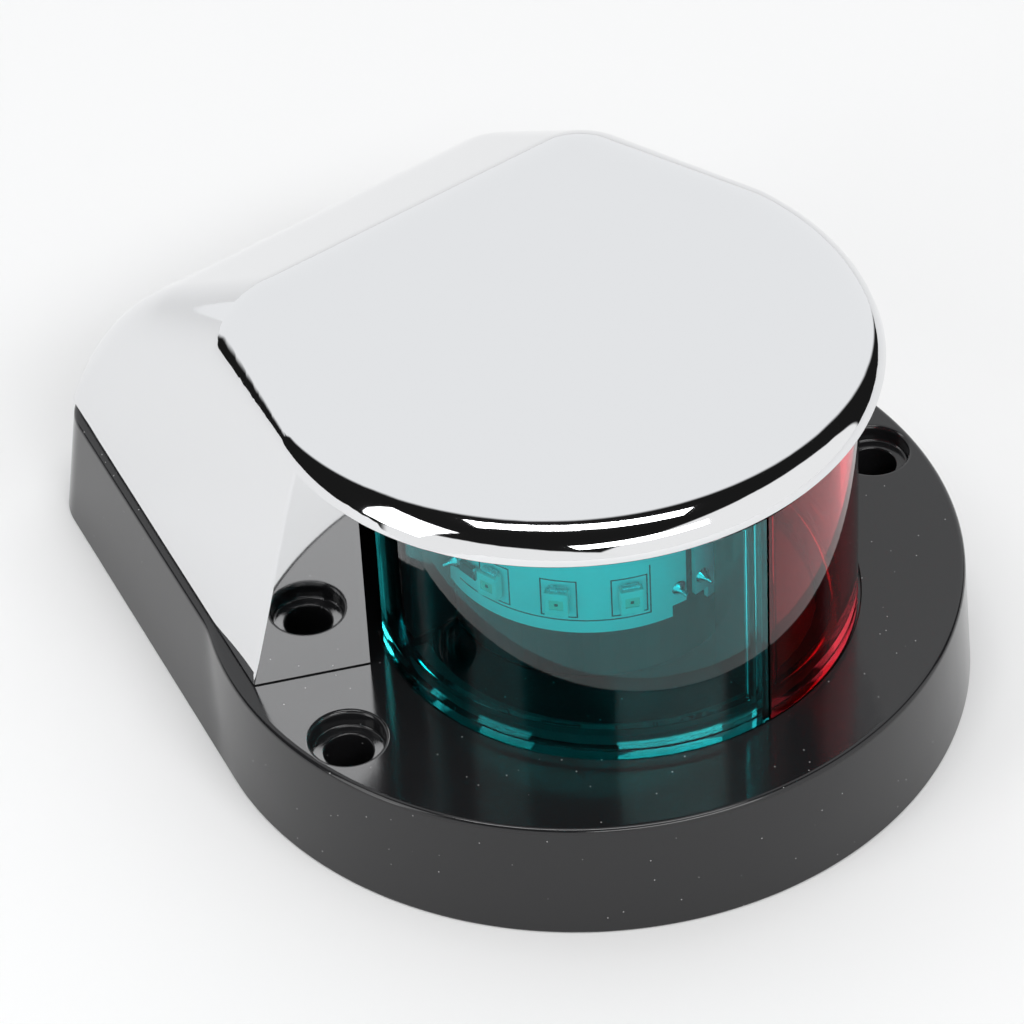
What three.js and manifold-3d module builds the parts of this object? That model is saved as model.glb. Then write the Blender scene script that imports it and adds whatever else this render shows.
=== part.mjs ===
// Two-colour bow navigation light: a black base, a chrome hood and two coloured lenses round an LED holder.
// Millimetres, +Z up, bow towards -Y, starboard (green) at -X, port (red) at +X.
// The origin is under the middle of the light, on the deck that it is screwed to.
import * as THREE from "three";
import { ConvexGeometry } from "three/addons/geometries/ConvexGeometry.js";
import { mergeVertices } from "three/addons/utils/BufferGeometryUtils.js";
import Module from "manifold-3d";

const wasm = await Module();
wasm.setup();

const { cos, sin, tan, PI } = Math;
const rad = THREE.MathUtils.degToRad;

// Driving dimensions: plan
const DRUM_Y = -11; // centre of the base's round front
const BASE_RADIUS = 47.5; // round front at the underside
const DECK_RADIUS = 46.6; // round front at the top face
const BLOCK_OFFSET = 45.4; // straight sides at the top face, measured from the drum's centre
const SIDE_TAPER = rad(11.8); // how far the straight sides close towards the stern
const BASE_REAR = 58.5;
const DECK_REAR = 57.1;
const CORNER = 9; // rear corners of the base

// Driving dimensions: heights
const DECK_Z = 16; // top face of the base
const HOOD_Z = 16.2; // foot of the hood
const RIM_Z = 47.8; // underside of the hood's round brim
const TOP_Z = 53;

// Hood
const DISC_Y = -10; // centre of the round brim
const DISC_RADIUS = 37.3;
const BRIM = { across: 9.4, height: TOP_Z - RIM_Z }; // quarter-ellipse edge of the brim
const SIDE_LEAN = rad(13.2); // how far the sides lean in, from vertical
const HOOD_FOOT = 44.5; // side offset at DECK_Z, from the drum's centre
const REAR = { y: 15.4, z: 5.6, radius: 42 }; // arc of the rear face, seen from the side
const REAR_EDGE = { foot: 2.2, top: 12.3 }; // rounding of the rear face's side edges
const REAR_START = rad(5); // where the rear arc starts, below the foot
const HOOD_WALL = 2.2;
const FACE_POINT = new THREE.Vector2(-43.2, -4); // outer end of the starboard front face
const FACE_ANGLE = rad(23.5); // how far the front faces sweep back

// Lenses
const LENS_Y = -17.8; // centre of the lens cylinder
const LENS_RADIUS = 29.2;
const LENS_WALL = 2;
const LENS_END = 112; // degrees from the bow
const LENS_FOOT = 15.6;
const LENS_TOP = 47.5;
const LIP = 1; // how much of the lens wall laps over the divider's edge
const GAP = 0.3; // running gap between neighbours
const FACE_GAP = 2.8; // clear space between the lenses and the hood's front faces
const DIVIDER_BACK = -37; // rear edge of the web between the lenses

// LED holder and boards
const BOARD_Y = -13.3; // centre of the curved boards
const BOARD_RADIUS = 19;
const BOARD_THICKNESS = 0.6;
const BOARD_LOW = 24;
const BOARD_HIGH = 35;
const LED_Z = 29.4;
const LED_ANGLES = [24, 49, 74];
const RESISTOR_ANGLE = 85;
const BOARD_ENDS = [2, 100];
const PAD_ANGLES = { positive: 5.2, negative: 95 };
const PAD_Z = 28.2;

// Fasteners
const MOUNT_HOLE = { x: 40.4, y: -18, bore: 2.9, seat: 4.45, depth: 2.2, boss: 6.6 };
const COVER_SCREWS = [[-31, 1.5], [31, 1.5], [-21, 37], [21, 37]];
const COVER_BOSS = { radius: 4, pilot: 2.05, depth: 13 };
const CARRIER_SCREWS = [[-10, -3], [10, -3]];
const CARRIER_BOSS = { radius: 3.6, height: 9, pilot: 1.75, depth: 8 };
const SCREW_CLEARANCE = { shank: 2.1, head: 4 };

// Base shell
const PLATE = 3; // thickness of the base's top plate
const BASE_WALL = 2.6;
const RIB_FOOT = 5; // how high the ribs' lower edges sit
const CROSS_RIBS = [{ y: -20, reach: 42 }, { y: 27, reach: 38 }];
const HOOD_GROOVE = { outer: 0.4, inner: 2, depth: 0.9 }; // insets from the hood's outer face
const SEAL = { outer: 0.7, inner: 1.7, depth: 0.6, end: 1.5 };
const GROMMET = { y: 12, hole: 5, flange: 1.2, bore: 3.1, boss: 3 };
const FAR = 60; // beyond the light in any direction

// Booleans

function solid(geometry) {
  const bare = geometry.clone();
  bare.deleteAttribute("normal");
  bare.deleteAttribute("uv");
  const merged = mergeVertices(bare, 1e-4);
  return new wasm.Manifold(new wasm.Mesh({
    numProp: 3,
    vertProperties: new Float32Array(merged.attributes.position.array),
    triVerts: new Uint32Array(merged.index.array),
  }));
}

function toGeometry(body) {
  const mesh = body.getMesh();
  const geometry = new THREE.BufferGeometry();
  geometry.setAttribute("position", new THREE.BufferAttribute(mesh.vertProperties, 3));
  geometry.setIndex(new THREE.BufferAttribute(mesh.triVerts, 1));
  geometry.computeVertexNormals();
  return geometry;
}

// Solids

function box(x0, x1, y0, y1, z0, z1) {
  const geometry = new THREE.BoxGeometry(x1 - x0, y1 - y0, z1 - z0);
  return solid(geometry.translate((x0 + x1) / 2, (y0 + y1) / 2, (z0 + z1) / 2));
}

function prism(points, z0, z1) {
  const shape = new THREE.Shape(points);
  const geometry = new THREE.ExtrudeGeometry(shape, { depth: z1 - z0, bevelEnabled: false });
  return solid(geometry.translate(0, 0, z0));
}

function rod(x, y, radius, z0, z1, sides = 24) {
  const geometry = new THREE.CylinderGeometry(radius, radius, z1 - z0, sides);
  return solid(geometry.rotateX(PI / 2).translate(x, y, (z0 + z1) / 2));
}

function turned(profile, sides = 24) {
  const points = profile.map(([r, z]) => new THREE.Vector2(r, z));
  return new THREE.LatheGeometry(points, sides).rotateX(PI / 2);
}

function hull(points) {
  return solid(new ConvexGeometry(points));
}

// A point on a circle; the angle is counted from the bow, positive to starboard.
function bowPoint(centreY, radius, degrees) {
  const a = rad(degrees);
  return new THREE.Vector2(-radius * sin(a), centreY - radius * cos(a));
}

// A curved wall about an upright axis, between two bow angles.
function arcWall(centreY, inner, outer, from, to, z0, z1, step = 4) {
  const count = Math.ceil((to - from) / step);
  const outside = [];
  const inside = [];
  for (let i = 0; i <= count; i++) {
    const degrees = from + ((to - from) * i) / count;
    outside.push(bowPoint(centreY, outer, degrees));
    inside.unshift(bowPoint(centreY, inner, degrees));
  }
  return prism([...outside, ...inside], z0, z1);
}

function arc(x, y, radius, from, to, count) {
  return Array.from({ length: count + 1 }, (_, i) => {
    const a = from + ((to - from) * i) / count;
    return new THREE.Vector2(x + radius * cos(a), y + radius * sin(a));
  });
}

// Plan outline: round front, straight sides that close towards the stern, rounded rear corners.
function taperedOutline(centreY, offset, rearY, corner, frontSteps = 40) {
  const y = rearY - corner;
  const x = (offset - corner - sin(SIDE_TAPER) * (y - centreY)) / cos(SIDE_TAPER);
  return [
    ...arc(0, centreY, offset, SIDE_TAPER, -PI - SIDE_TAPER, frontSteps),
    ...arc(-x, y, corner, PI - SIDE_TAPER, PI / 2, 6),
    ...arc(x, y, corner, PI / 2, SIDE_TAPER, 6),
  ];
}

const atHeight = (points, z) => points.map((p) => new THREE.Vector3(p.x, p.y, z));

// Hood

// Half-width of the hood's leaning side plane, moved in by inset.
function sideX(y, z, inset) {
  const reach = HOOD_FOOT * cos(SIDE_LEAN) - inset;
  const aft = sin(SIDE_TAPER) * cos(SIDE_LEAN) * (y - DRUM_Y);
  return (reach - aft - sin(SIDE_LEAN) * (z - DECK_Z)) / (cos(SIDE_TAPER) * cos(SIDE_LEAN));
}

function ballPoints(x, y, z, radius, turns = 16, rings = 4) {
  const points = [];
  for (let i = 0; i <= rings; i++) {
    const up = (PI / 2) * (i / rings);
    points.push(...atHeight(arc(x, y, radius * cos(up), 0, PI * 2, turns), z + radius * sin(up)));
  }
  return points;
}

// The hood's convex outer form, with every face moved in by inset, cut off at footZ.
function hoodForm(inset, footZ) {
  const points = [];
  const below = REAR.z;
  for (const side of [-1, 1]) {
    for (const y of [DRUM_Y - 16, DRUM_Y + 40]) {
      points.push(new THREE.Vector3(side * sideX(y, below, inset), y, below));
    }
    const steps = 12;
    for (let i = 0; i <= steps; i++) {
      const t = i / steps;
      const a = REAR_START + (PI / 2 - REAR_START) * t;
      const edge = REAR_EDGE.foot + (REAR_EDGE.top - REAR_EDGE.foot) * t;
      const y = REAR.y + (REAR.radius - edge) * cos(a);
      const z = i < steps ? REAR.z + (REAR.radius - edge) * sin(a) : TOP_Z - edge;
      const radius = Math.max(edge - inset, 0.2);
      points.push(...ballPoints(side * sideX(y, z, edge), y, z, radius));
    }
  }
  const rings = 6;
  for (let i = 0; i <= rings; i++) {
    const a = (PI / 2) * (i / rings);
    const radius = DISC_RADIUS - BRIM.across + (BRIM.across - inset) * cos(a);
    const z = RIM_Z + (BRIM.height - inset) * sin(a);
    points.push(...atHeight(arc(0, DISC_Y, radius, -PI - SIDE_TAPER, SIDE_TAPER, 36), z));
  }
  return hull(points).intersect(box(-FAR, FAR, -FAR, FAR, footZ, TOP_Z + 1));
}

// Everything ahead of the hood's two swept front faces, moved back by inset.
function aheadOfFaces(inset, z0, z1) {
  const back = inset / cos(FACE_ANGLE);
  const middle = FACE_POINT.y + FACE_POINT.x * tan(FACE_ANGLE) + back;
  const outer = middle + FAR * tan(FACE_ANGLE);
  return prism([
    new THREE.Vector2(-FAR, outer),
    new THREE.Vector2(-FAR, -FAR),
    new THREE.Vector2(FAR, -FAR),
    new THREE.Vector2(FAR, outer),
    new THREE.Vector2(0, middle),
  ], z0, z1);
}

function chromeHood() {
  const outside = hoodForm(0, HOOD_Z);
  const lensPocket = rod(0, LENS_Y, LENS_RADIUS + FACE_GAP, 0, RIM_Z, 90);
  const hollow = hoodForm(HOOD_WALL, HOOD_Z - 1)
    .subtract(aheadOfFaces(HOOD_WALL, 0, TOP_Z + 1));
  const overLenses = rod(0, LENS_Y, LENS_RADIUS - 5, RIM_Z - 1, TOP_Z - HOOD_WALL, 48);
  let body = outside
    .subtract(aheadOfFaces(0, 0, RIM_Z))
    .subtract(hollow)
    .subtract(overLenses);
  for (const [x, y] of COVER_SCREWS) {
    body = body.add(rod(x, y, COVER_BOSS.radius, HOOD_Z, TOP_Z - 1).intersect(outside));
  }
  body = body.subtract(lensPocket);
  for (const [x, y] of COVER_SCREWS) {
    body = body.subtract(rod(x, y, COVER_BOSS.pilot, HOOD_Z - 1, HOOD_Z + COVER_BOSS.depth));
  }
  return body;
}

// Base

// The tapered block behind the drum, drafted from the underside to the top face.
function baseBlock(inset, z0, z1) {
  const at = (z) => {
    const t = z / DECK_Z;
    const offset = BASE_RADIUS + (BLOCK_OFFSET - BASE_RADIUS) * t - inset;
    const rear = BASE_REAR + (DECK_REAR - BASE_REAR) * t - inset;
    return atHeight(taperedOutline(DRUM_Y, offset, rear, CORNER - inset, 1), z);
  };
  return hull([...at(z0), ...at(z1)]);
}

function baseForm(inset, z0, z1) {
  const radiusAt = (z) => BASE_RADIUS + ((DECK_RADIUS - BASE_RADIUS) * z) / DECK_Z - inset;
  const drum = new THREE.CylinderGeometry(radiusAt(z1), radiusAt(z0), z1 - z0, 72);
  drum.rotateX(PI / 2).translate(0, DRUM_Y, (z0 + z1) / 2);
  return solid(drum).add(baseBlock(inset, z0, z1));
}

function mountHoles(radius, z0, z1, sides) {
  const holes = [-1, 1].map((side) => rod(side * MOUNT_HOLE.x, MOUNT_HOLE.y, radius, z0, z1, sides));
  return holes[0].add(holes[1]);
}

function ring(make, outer, inner) {
  return make(outer).subtract(make(inner));
}

// The strip under the hood's wall, between two insets from the hood's outer face.
function wallStrip(outer, inner, z0, z1) {
  const strip = (inset) => hoodForm(inset, z0)
    .subtract(aheadOfFaces(inset, z0 - 1, RIM_Z))
    .intersect(box(-FAR, FAR, -FAR, FAR, z0, z1));
  const lensPocket = rod(0, LENS_Y, LENS_RADIUS + FACE_GAP + SEAL.end, z0 - 1, z1 + 1, 48);
  return ring(strip, outer, inner).subtract(lensPocket);
}

function baseHousing() {
  const underside = DECK_Z - PLATE;
  const inner = baseForm(BASE_WALL, 0, DECK_Z).intersect(box(-FAR, FAR, -FAR, FAR, 0, underside));
  let body = baseForm(0, 0, DECK_Z).subtract(inner);
  const ribs = CROSS_RIBS.map(({ y, reach }) => box(-reach, reach, y - 1, y + 1, RIB_FOOT, underside + 1));
  ribs.push(box(-1, 1, -56, 56, RIB_FOOT, underside + 1));
  for (const rib of ribs) {
    body = body.add(rib.intersect(baseForm(1, 0, DECK_Z)));
  }
  body = body.add(mountHoles(MOUNT_HOLE.boss, 0, DECK_Z - 1, 24).intersect(baseForm(0.5, 0, DECK_Z)));
  body = body.add(rod(0, GROMMET.y, GROMMET.hole + GROMMET.boss, 8, underside + 1));
  body = body
    .subtract(mountHoles(MOUNT_HOLE.bore, -1, DECK_Z + 1, 24))
    .subtract(mountHoles(MOUNT_HOLE.seat, DECK_Z - MOUNT_HOLE.depth, DECK_Z + 1, 24))
    .subtract(rod(0, GROMMET.y, GROMMET.hole + GAP, 0, DECK_Z + 1))
    .subtract(rod(0, GROMMET.y, GROMMET.hole + GROMMET.flange + GAP, 0, 10));
  for (const [x, y] of [...COVER_SCREWS, ...CARRIER_SCREWS]) {
    body = body
      .subtract(rod(x, y, SCREW_CLEARANCE.shank, 0, DECK_Z + 1, 16))
      .subtract(rod(x, y, SCREW_CLEARANCE.head, 0, underside, 16));
  }
  const lensGroove = arcWall(
    LENS_Y, LENS_RADIUS - 3 - GAP, LENS_RADIUS + GAP, -LENS_END - 3, LENS_END + 3,
    LENS_FOOT - GAP, DECK_Z + 1,
  );
  const { outer, inner: groove, depth } = HOOD_GROOVE;
  return body.subtract(lensGroove).subtract(wallStrip(outer, groove, DECK_Z - depth, DECK_Z + 0.2));
}

// Lenses

// side is -1 for starboard and 1 for port.
function lens(side) {
  const span = side < 0 ? [0, LENS_END] : [-LENS_END, 0];
  const inner = LENS_RADIUS - LENS_WALL;
  let body = arcWall(LENS_Y, inner, LENS_RADIUS, ...span, LENS_FOOT, LENS_TOP)
    .add(arcWall(LENS_Y, inner - 1, inner + 0.5, ...span, LENS_FOOT, 19.4));
  const sided = (x0, x1, y0, y1, z0, z1) => (
    side < 0 ? box(-x1, -x0, y0, y1, z0, z1) : box(x0, x1, y0, y1, z0, z1)
  );
  const front = LENS_Y - LENS_RADIUS;
  const flange = sided(0.7, 1.9, front + 0.6, front + 3, LENS_FOOT, LENS_TOP)
    .intersect(rod(0, LENS_Y, LENS_RADIUS - 0.5, 0, RIM_Z, 90));
  body = body.add(flange);
  body = body.subtract(sided(-5, 0.15, front - 5, front + 9, 0, TOP_Z));
  return body.subtract(sided(-5, 0.7, front + LIP, front + 9, 0, TOP_Z));
}

function lensDivider() {
  const front = LENS_Y - LENS_RADIUS + LIP + GAP;
  const post = [DIVIDER_BACK - 1, DIVIDER_BACK, DECK_Z + 0.2, RIM_Z - 0.4];
  return box(-0.4, 0.4, front, DIVIDER_BACK, 18, 45.4).add(box(-0.4, 0.4, ...post));
}

function lensSeal(z0, z1) {
  return arcWall(LENS_Y, LENS_RADIUS - 5, LENS_RADIUS - 3.3, -104, 104, z0, z1, 8);
}

// LED holder

function ledCarrier() {
  const top = 46.6;
  const foot = DECK_Z + 0.2;
  const face = BOARD_RADIUS - BOARD_THICKNESS - GAP;
  const plateY = -9;
  let body = arcWall(BOARD_Y, face - 1.8, face, -106, 106, foot, top, 6)
    .add(box(-23.5, 23.5, plateY, plateY + 2, foot, top))
    .add(arcWall(BOARD_Y, 3, face - 1, -80, 80, top - 2, top, 8));
  const shoe = box(-14.5, 14.5, plateY + 1, plateY + 12, foot, foot + 2.2);
  body = body.add(shoe);
  for (const [x, y] of CARRIER_SCREWS) {
    body = body
      .add(rod(x, y, CARRIER_BOSS.radius, foot, foot + CARRIER_BOSS.height))
      .subtract(rod(x, y, CARRIER_BOSS.pilot, foot - 1, foot + CARRIER_BOSS.depth, 16));
  }
  for (const side of [-1, 1]) {
    for (const degrees of Object.values(PAD_ANGLES)) {
      const hole = bowPoint(BOARD_Y, face - 1, side * -degrees);
      body = body.subtract(rod(0, 0, 1.1, -4, 4, 10)
        .rotate([90, 0, side * degrees]).translate([hole.x, hole.y, PAD_Z]));
    }
  }
  return body.subtract(box(-6, 6, plateY - 1, plateY + 3, foot + 3, foot + 12));
}

// A curved board with the corner under its bow-side pad cut away. side is as in lens.
function ledBoard(side) {
  const span = (from, to) => (side < 0 ? [from, to] : [-to, -from]);
  const inner = BOARD_RADIUS - BOARD_THICKNESS;
  const [from, to] = BOARD_ENDS;
  let body = arcWall(BOARD_Y, inner, BOARD_RADIUS, ...span(from, to), BOARD_LOW, BOARD_HIGH)
    .subtract(arcWall(BOARD_Y, inner - 1, BOARD_RADIUS + 1, ...span(0, 8), 0, BOARD_LOW + 1.7));
  for (const degrees of Object.values(PAD_ANGLES)) {
    const pad = bowPoint(BOARD_Y, inner, -side * degrees);
    body = body.subtract(rod(0, 0, 0.6, -3, 3, 8)
      .rotate([90, 0, side * degrees]).translate([pad.x, pad.y, PAD_Z]));
  }
  return body;
}

function led() {
  const body = box(-1.4, 1.4, -0.6, 0.6, -1.75, 1.75);
  const dish = new THREE.CylinderGeometry(1.2, 0.9, 0.6, 16).rotateX(PI).translate(0, -0.5, 0);
  return body.subtract(solid(dish));
}

function resistor() {
  return box(-1.6, 1.6, -0.3, 0.3, -0.8, 0.8);
}

function solderJoint() {
  return solid(new THREE.CylinderGeometry(0.2, 0.95, 1.7, 12).rotateX(PI));
}

// Wiring: routes are lists of points, in order.

function tube(points, radius, steps = 24) {
  const path = new THREE.CatmullRomCurve3(points.map((p) => new THREE.Vector3(...p)));
  const section = new THREE.Shape(arc(0, 0, radius, 0, 2 * PI, 8).slice(0, -1));
  return solid(new THREE.ExtrudeGeometry(section, { steps, extrudePath: path, bevelEnabled: false }));
}

const LEAD_RADIUS = 0.7;
const CAP = { x: 4, y0: 20, y1: 31, z: 22.4, radius: 2.7 };

function padBack(side, degrees) {
  const p = bowPoint(BOARD_Y, BOARD_RADIUS - BOARD_THICKNESS - GAP, -side * degrees);
  return [p.x, p.y, PAD_Z];
}

const capEntry = (side, dx, dz) => [side * CAP.x + dx, CAP.y0 - GAP, CAP.z + dz];

const LEADS = {
  lead_green_positive: [
    padBack(-1, PAD_ANGLES.positive), [-1.5, -27, PAD_Z], [-2.5, -20, 23], [-3.5, -12, 20.8],
    [-4.8, -2, 20.6], [-4.9, 9, 21], capEntry(-1, -0.9, -0.5),
  ],
  lead_red_positive: [
    padBack(1, PAD_ANGLES.positive), [1.5, -27, PAD_Z], [1, -20, 23], [-1.2, -12, 21.2],
    [-3, -2, 20.8], [-3.3, 9, 21], capEntry(-1, 0.9, -0.5),
  ],
  lead_green_negative: [
    padBack(-1, PAD_ANGLES.negative), [-13.5, -13, PAD_Z - 0.4], [-7, -14, 26], [-1, -10, 25.4],
    [2.4, -2, 24], [3.3, 9, 21.6], capEntry(1, -0.9, -0.5),
  ],
  lead_red_negative: [
    padBack(1, PAD_ANGLES.negative), [13.5, -13, PAD_Z - 0.6], [8, -14, 24], [4.6, -10, 21.6],
    [4.8, -2, 20.8], [4.9, 9, 21.2], capEntry(1, 0.9, -0.5),
  ],
};

function supplyCore(side) {
  const x = side * 1.5;
  return tube([
    [x, GROMMET.y, 13.6], [x, GROMMET.y, 18], [x, GROMMET.y + 1.2, 23], [side * 2.9, GROMMET.y + 4.4, 24.6],
    capEntry(side, 0, 1.2),
  ], 0.8, 16);
}

function crimpCap(side) {
  const { x, y0, y1, z, radius } = CAP;
  const cap = turned([[0, 0], [radius, 0], [radius, 6], [radius - 0.7, 7.5],
    [radius - 0.7, y1 - y0 - 0.6], [radius - 1.5, y1 - y0], [0, y1 - y0]], 16);
  return solid(cap.rotateX(-PI / 2).translate(side * x, y0, z));
}

function grommet() {
  const { hole, flange, bore } = GROMMET;
  const foot = 8.2;
  const lip = 18.2;
  const profile = [[bore, foot], [hole + flange, foot], [hole + flange, 9.7], [hole, 9.7],
    [hole, DECK_Z + GAP], [hole + 1.8, DECK_Z + GAP], [hole + flange, lip], [bore, lip], [bore, foot]];
  return solid(turned(profile)).translate([0, GROMMET.y, 0]);
}

function screw(headRadius, shankRadius, tipZ) {
  const seat = DECK_Z - PLATE - GAP;
  return turned([[0, seat - 2.4], [headRadius * 0.85, seat - 2.4], [headRadius, seat - 1.6],
    [headRadius, seat], [shankRadius, seat], [shankRadius, tipZ - 2], [0, tipZ]], 16);
}

// Assembly

const light = new THREE.Group();

const FINISHES = {
  black: { color: 0x0b0b0c, roughness: 0.18, metalness: 0 },
  chrome: { color: 0xe4e6e8, roughness: 0.05, metalness: 1 },
  green: { color: 0x0e8a7c, roughness: 0.05, metalness: 0, transparent: true, opacity: 0.5 },
  red: { color: 0xc40a18, roughness: 0.05, metalness: 0, transparent: true, opacity: 0.5 },
  rubber: { color: 0x1a1a1a, roughness: 0.8, metalness: 0 },
  white: { color: 0xeeeeea, roughness: 0.5, metalness: 0 },
  ledBody: { color: 0xf2eedc, roughness: 0.4, metalness: 0 },
  ceramic: { color: 0x15171a, roughness: 0.5, metalness: 0 },
  solder: { color: 0xc9ccd0, roughness: 0.25, metalness: 1 },
  steel: { color: 0xb9bcc0, roughness: 0.3, metalness: 1 },
  redWire: { color: 0xb5121b, roughness: 0.45, metalness: 0 },
  blackWire: { color: 0x121212, roughness: 0.45, metalness: 0 },
};

const materials = Object.fromEntries(
  Object.entries(FINISHES).map(([key, finish]) => [key, new THREE.MeshStandardMaterial(finish)]),
);

function add(name, body, finish, parent = light) {
  const geometry = body.isBufferGeometry ? body : toGeometry(body);
  const mesh = new THREE.Mesh(geometry, materials[finish]);
  mesh.name = name;
  parent.add(mesh);
  return mesh;
}

// A mesh on the curved board's face; degrees as in bowPoint.
function addOnBoard(name, body, finish, degrees, lift, z) {
  const turn = new THREE.Group();
  turn.position.set(0, BOARD_Y, 0);
  turn.rotation.z = -rad(degrees);
  light.add(turn);
  add(name, body, finish, turn).position.set(0, -(BOARD_RADIUS + lift), z);
}

add("base_housing", baseHousing(), "black");
add("chrome_hood", chromeHood(), "chrome");
add("hood_seal", wallStrip(SEAL.outer, SEAL.inner, DECK_Z - SEAL.depth, DECK_Z + 0.05), "rubber");
add("lens_divider", lensDivider(), "black");
add("lens_seal_lower", lensSeal(DECK_Z + 0.2, DECK_Z + 1.6), "rubber");
add("lens_seal_upper", lensSeal(RIM_Z - 1.8, RIM_Z - 0.3), "rubber");
add("led_carrier", ledCarrier(), "black");
add("cable_grommet", grommet(), "rubber");

for (const [colour, side] of [["green", -1], ["red", 1]]) {
  add(`lens_${colour}`, lens(side), colour);
  add(`led_board_${colour}`, ledBoard(side), "white");
  LED_ANGLES.forEach((degrees, i) => {
    addOnBoard(`led_${colour}_${i + 1}`, led(), "ledBody", -side * degrees, 0.8, LED_Z);
  });
  addOnBoard(`resistor_${colour}`, resistor(), "ceramic", -side * RESISTOR_ANGLE, 0.5, LED_Z);
  for (const [pole, degrees] of Object.entries(PAD_ANGLES)) {
    addOnBoard(`solder_${colour}_${pole}`, solderJoint(), "solder", -side * degrees, 1, PAD_Z);
  }
}

for (const [name, route] of Object.entries(LEADS)) {
  add(name, tube(route, LEAD_RADIUS), name.endsWith("positive") ? "redWire" : "blackWire");
}

for (const [pole, side] of [["positive", -1], ["negative", 1]]) {
  add(`supply_core_${pole}`, supplyCore(side), pole === "positive" ? "redWire" : "blackWire");
  add(`crimp_cap_${pole}`, crimpCap(side), "white");
}

COVER_SCREWS.forEach(([x, y], i) => {
  add(`hood_screw_${i + 1}`, screw(3.4, 1.75, 27), "steel").position.set(x, y, 0);
});

CARRIER_SCREWS.forEach(([x, y], i) => {
  add(`carrier_screw_${i + 1}`, screw(2.8, 1.4, 23.4), "steel").position.set(x, y, 0);
});

export default light;
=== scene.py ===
import math

import bmesh
import bpy
import numpy as np
from mathutils import Matrix, Vector
from mathutils.bvhtree import BVHTree
from mathutils.interpolate import poly_3d_calc


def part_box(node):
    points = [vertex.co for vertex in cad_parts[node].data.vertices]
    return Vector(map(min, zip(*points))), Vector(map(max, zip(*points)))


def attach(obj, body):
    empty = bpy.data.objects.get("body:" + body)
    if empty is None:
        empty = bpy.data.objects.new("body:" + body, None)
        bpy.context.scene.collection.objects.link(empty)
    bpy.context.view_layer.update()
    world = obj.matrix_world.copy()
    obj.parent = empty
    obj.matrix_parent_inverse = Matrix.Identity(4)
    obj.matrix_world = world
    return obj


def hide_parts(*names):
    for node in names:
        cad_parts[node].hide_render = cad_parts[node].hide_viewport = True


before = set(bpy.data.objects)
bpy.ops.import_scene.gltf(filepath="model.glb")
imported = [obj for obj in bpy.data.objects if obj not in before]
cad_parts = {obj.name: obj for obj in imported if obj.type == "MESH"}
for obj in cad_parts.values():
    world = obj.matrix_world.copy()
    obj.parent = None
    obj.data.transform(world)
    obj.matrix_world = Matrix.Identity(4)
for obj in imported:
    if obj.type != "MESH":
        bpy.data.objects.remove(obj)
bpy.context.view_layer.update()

# A two-colour bow navigation light. Shapes are worked out in millimetres and stored in metres.
MM = 0.001


def low(node):
    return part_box(node)[0] / MM


def high(node):
    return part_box(node)[1] / MM


# Driving dimensions, the same as the frame's
DECK_Z = high("base_housing").z
BASE_HALF = high("base_housing").x
BASE_REAR = high("base_housing").y
DRUM_Y = low("base_housing").y + BASE_HALF
DRAFT = 0.9  # how much the base's wall leans in by the deck
SIDE_TAPER = math.radians(11.8)
BLOCK_OFFSET = 45.4  # straight sides at the deck, from the drum's centre
DECK_REAR = BASE_REAR - 1.4
CORNER = 9  # rounding of the stern's corners
PLATE = 3  # thickness of the base's top plate
BASE_WALL = 2.6
RIB_HALF, RIB_FOOT = 1, 5
CROSS_RIBS = (-20, 27)

RIM_Z = 47.8
TOP_Z = high("chrome_hood").z
DISC_Y = -10  # centre of the round brim
DISC_RADIUS = 37.3
BRIM_ACROSS = 9.4
BRIM_HEIGHT = TOP_Z - RIM_Z
SIDE_LEAN = math.radians(13.2)  # how far the sides lean in, from vertical
HOOD_FOOT = 44.5  # side offset at DECK_Z, from the drum's centre
REAR_Y, REAR_Z, REAR_RADIUS = 15.4, 5.6, 42  # arc of the rear face, seen from the side
REAR_START = math.radians(5)  # where the rear arc starts, below the foot
REAR_EDGE_FOOT, REAR_EDGE_TOP = 2.2, 12.3  # rounding of the rear face's side edges
HOOD_WALL = 2.2
FACE_X, FACE_Y = -43.2, -4  # outer end of the starboard front face
FACE_ANGLE = math.radians(23.5)  # how far the front faces sweep back

LENS_Y = -17.8  # centre of the lens cylinder
LENS_RADIUS = 29.2
LENS_WALL = 2
LENS_END = 112  # degrees from the bow
LENS_FOOT = low("lens_green").z
LENS_TOP = high("lens_green").z
LIP = 1  # how much of the lens wall laps over the divider's edge
GAP = 0.3  # running gap between neighbours
FACE_GAP = 2.8  # clear space between the lenses and the hood's front faces
DIVIDER_BACK = -37  # rear edge of the web between the lenses
DIVIDER_HALF = 0.4
DIVIDER_FOOT, DIVIDER_TOP = 18, 45.4

BOARD_Y = -13.3  # centre of the curved strips
BOARD_RADIUS = 19
BOARD_THICKNESS = 0.6
BOARD_LOW = low("led_board_green").z
BOARD_HIGH = high("led_board_green").z
LED_Z = 29.4
LED_ANGLES = (24, 49, 74)
RESISTOR_ANGLE = 85
BOARD_ENDS = (2, 100)  # degrees from the bow
NOTCH_END, NOTCH_HEIGHT = 8, 1.7
PAD_ANGLES = {"positive": 5.2, "negative": 95}
PAD_Z = 28.2

HOLE_X, HOLE_Y = 40.4, -18
HOLE_BORE, HOLE_SEAT, HOLE_DEPTH, HOLE_BOSS = 2.9, 4.45, 2.2, 6.6
COVER_SCREWS = ((-31, 1.5), (31, 1.5), (-21, 37), (21, 37))
COVER_BOSS, COVER_PILOT, COVER_DEPTH = 4, 2.05, 13
CARRIER_SCREWS = ((-10, -3), (10, -3))
GROMMET_Y, GROMMET_HOLE = 12, 5
SIDES = (("green", -1), ("red", 1))

scene = bpy.context.scene


# ---------------------------------------------------------------- meshes

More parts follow.
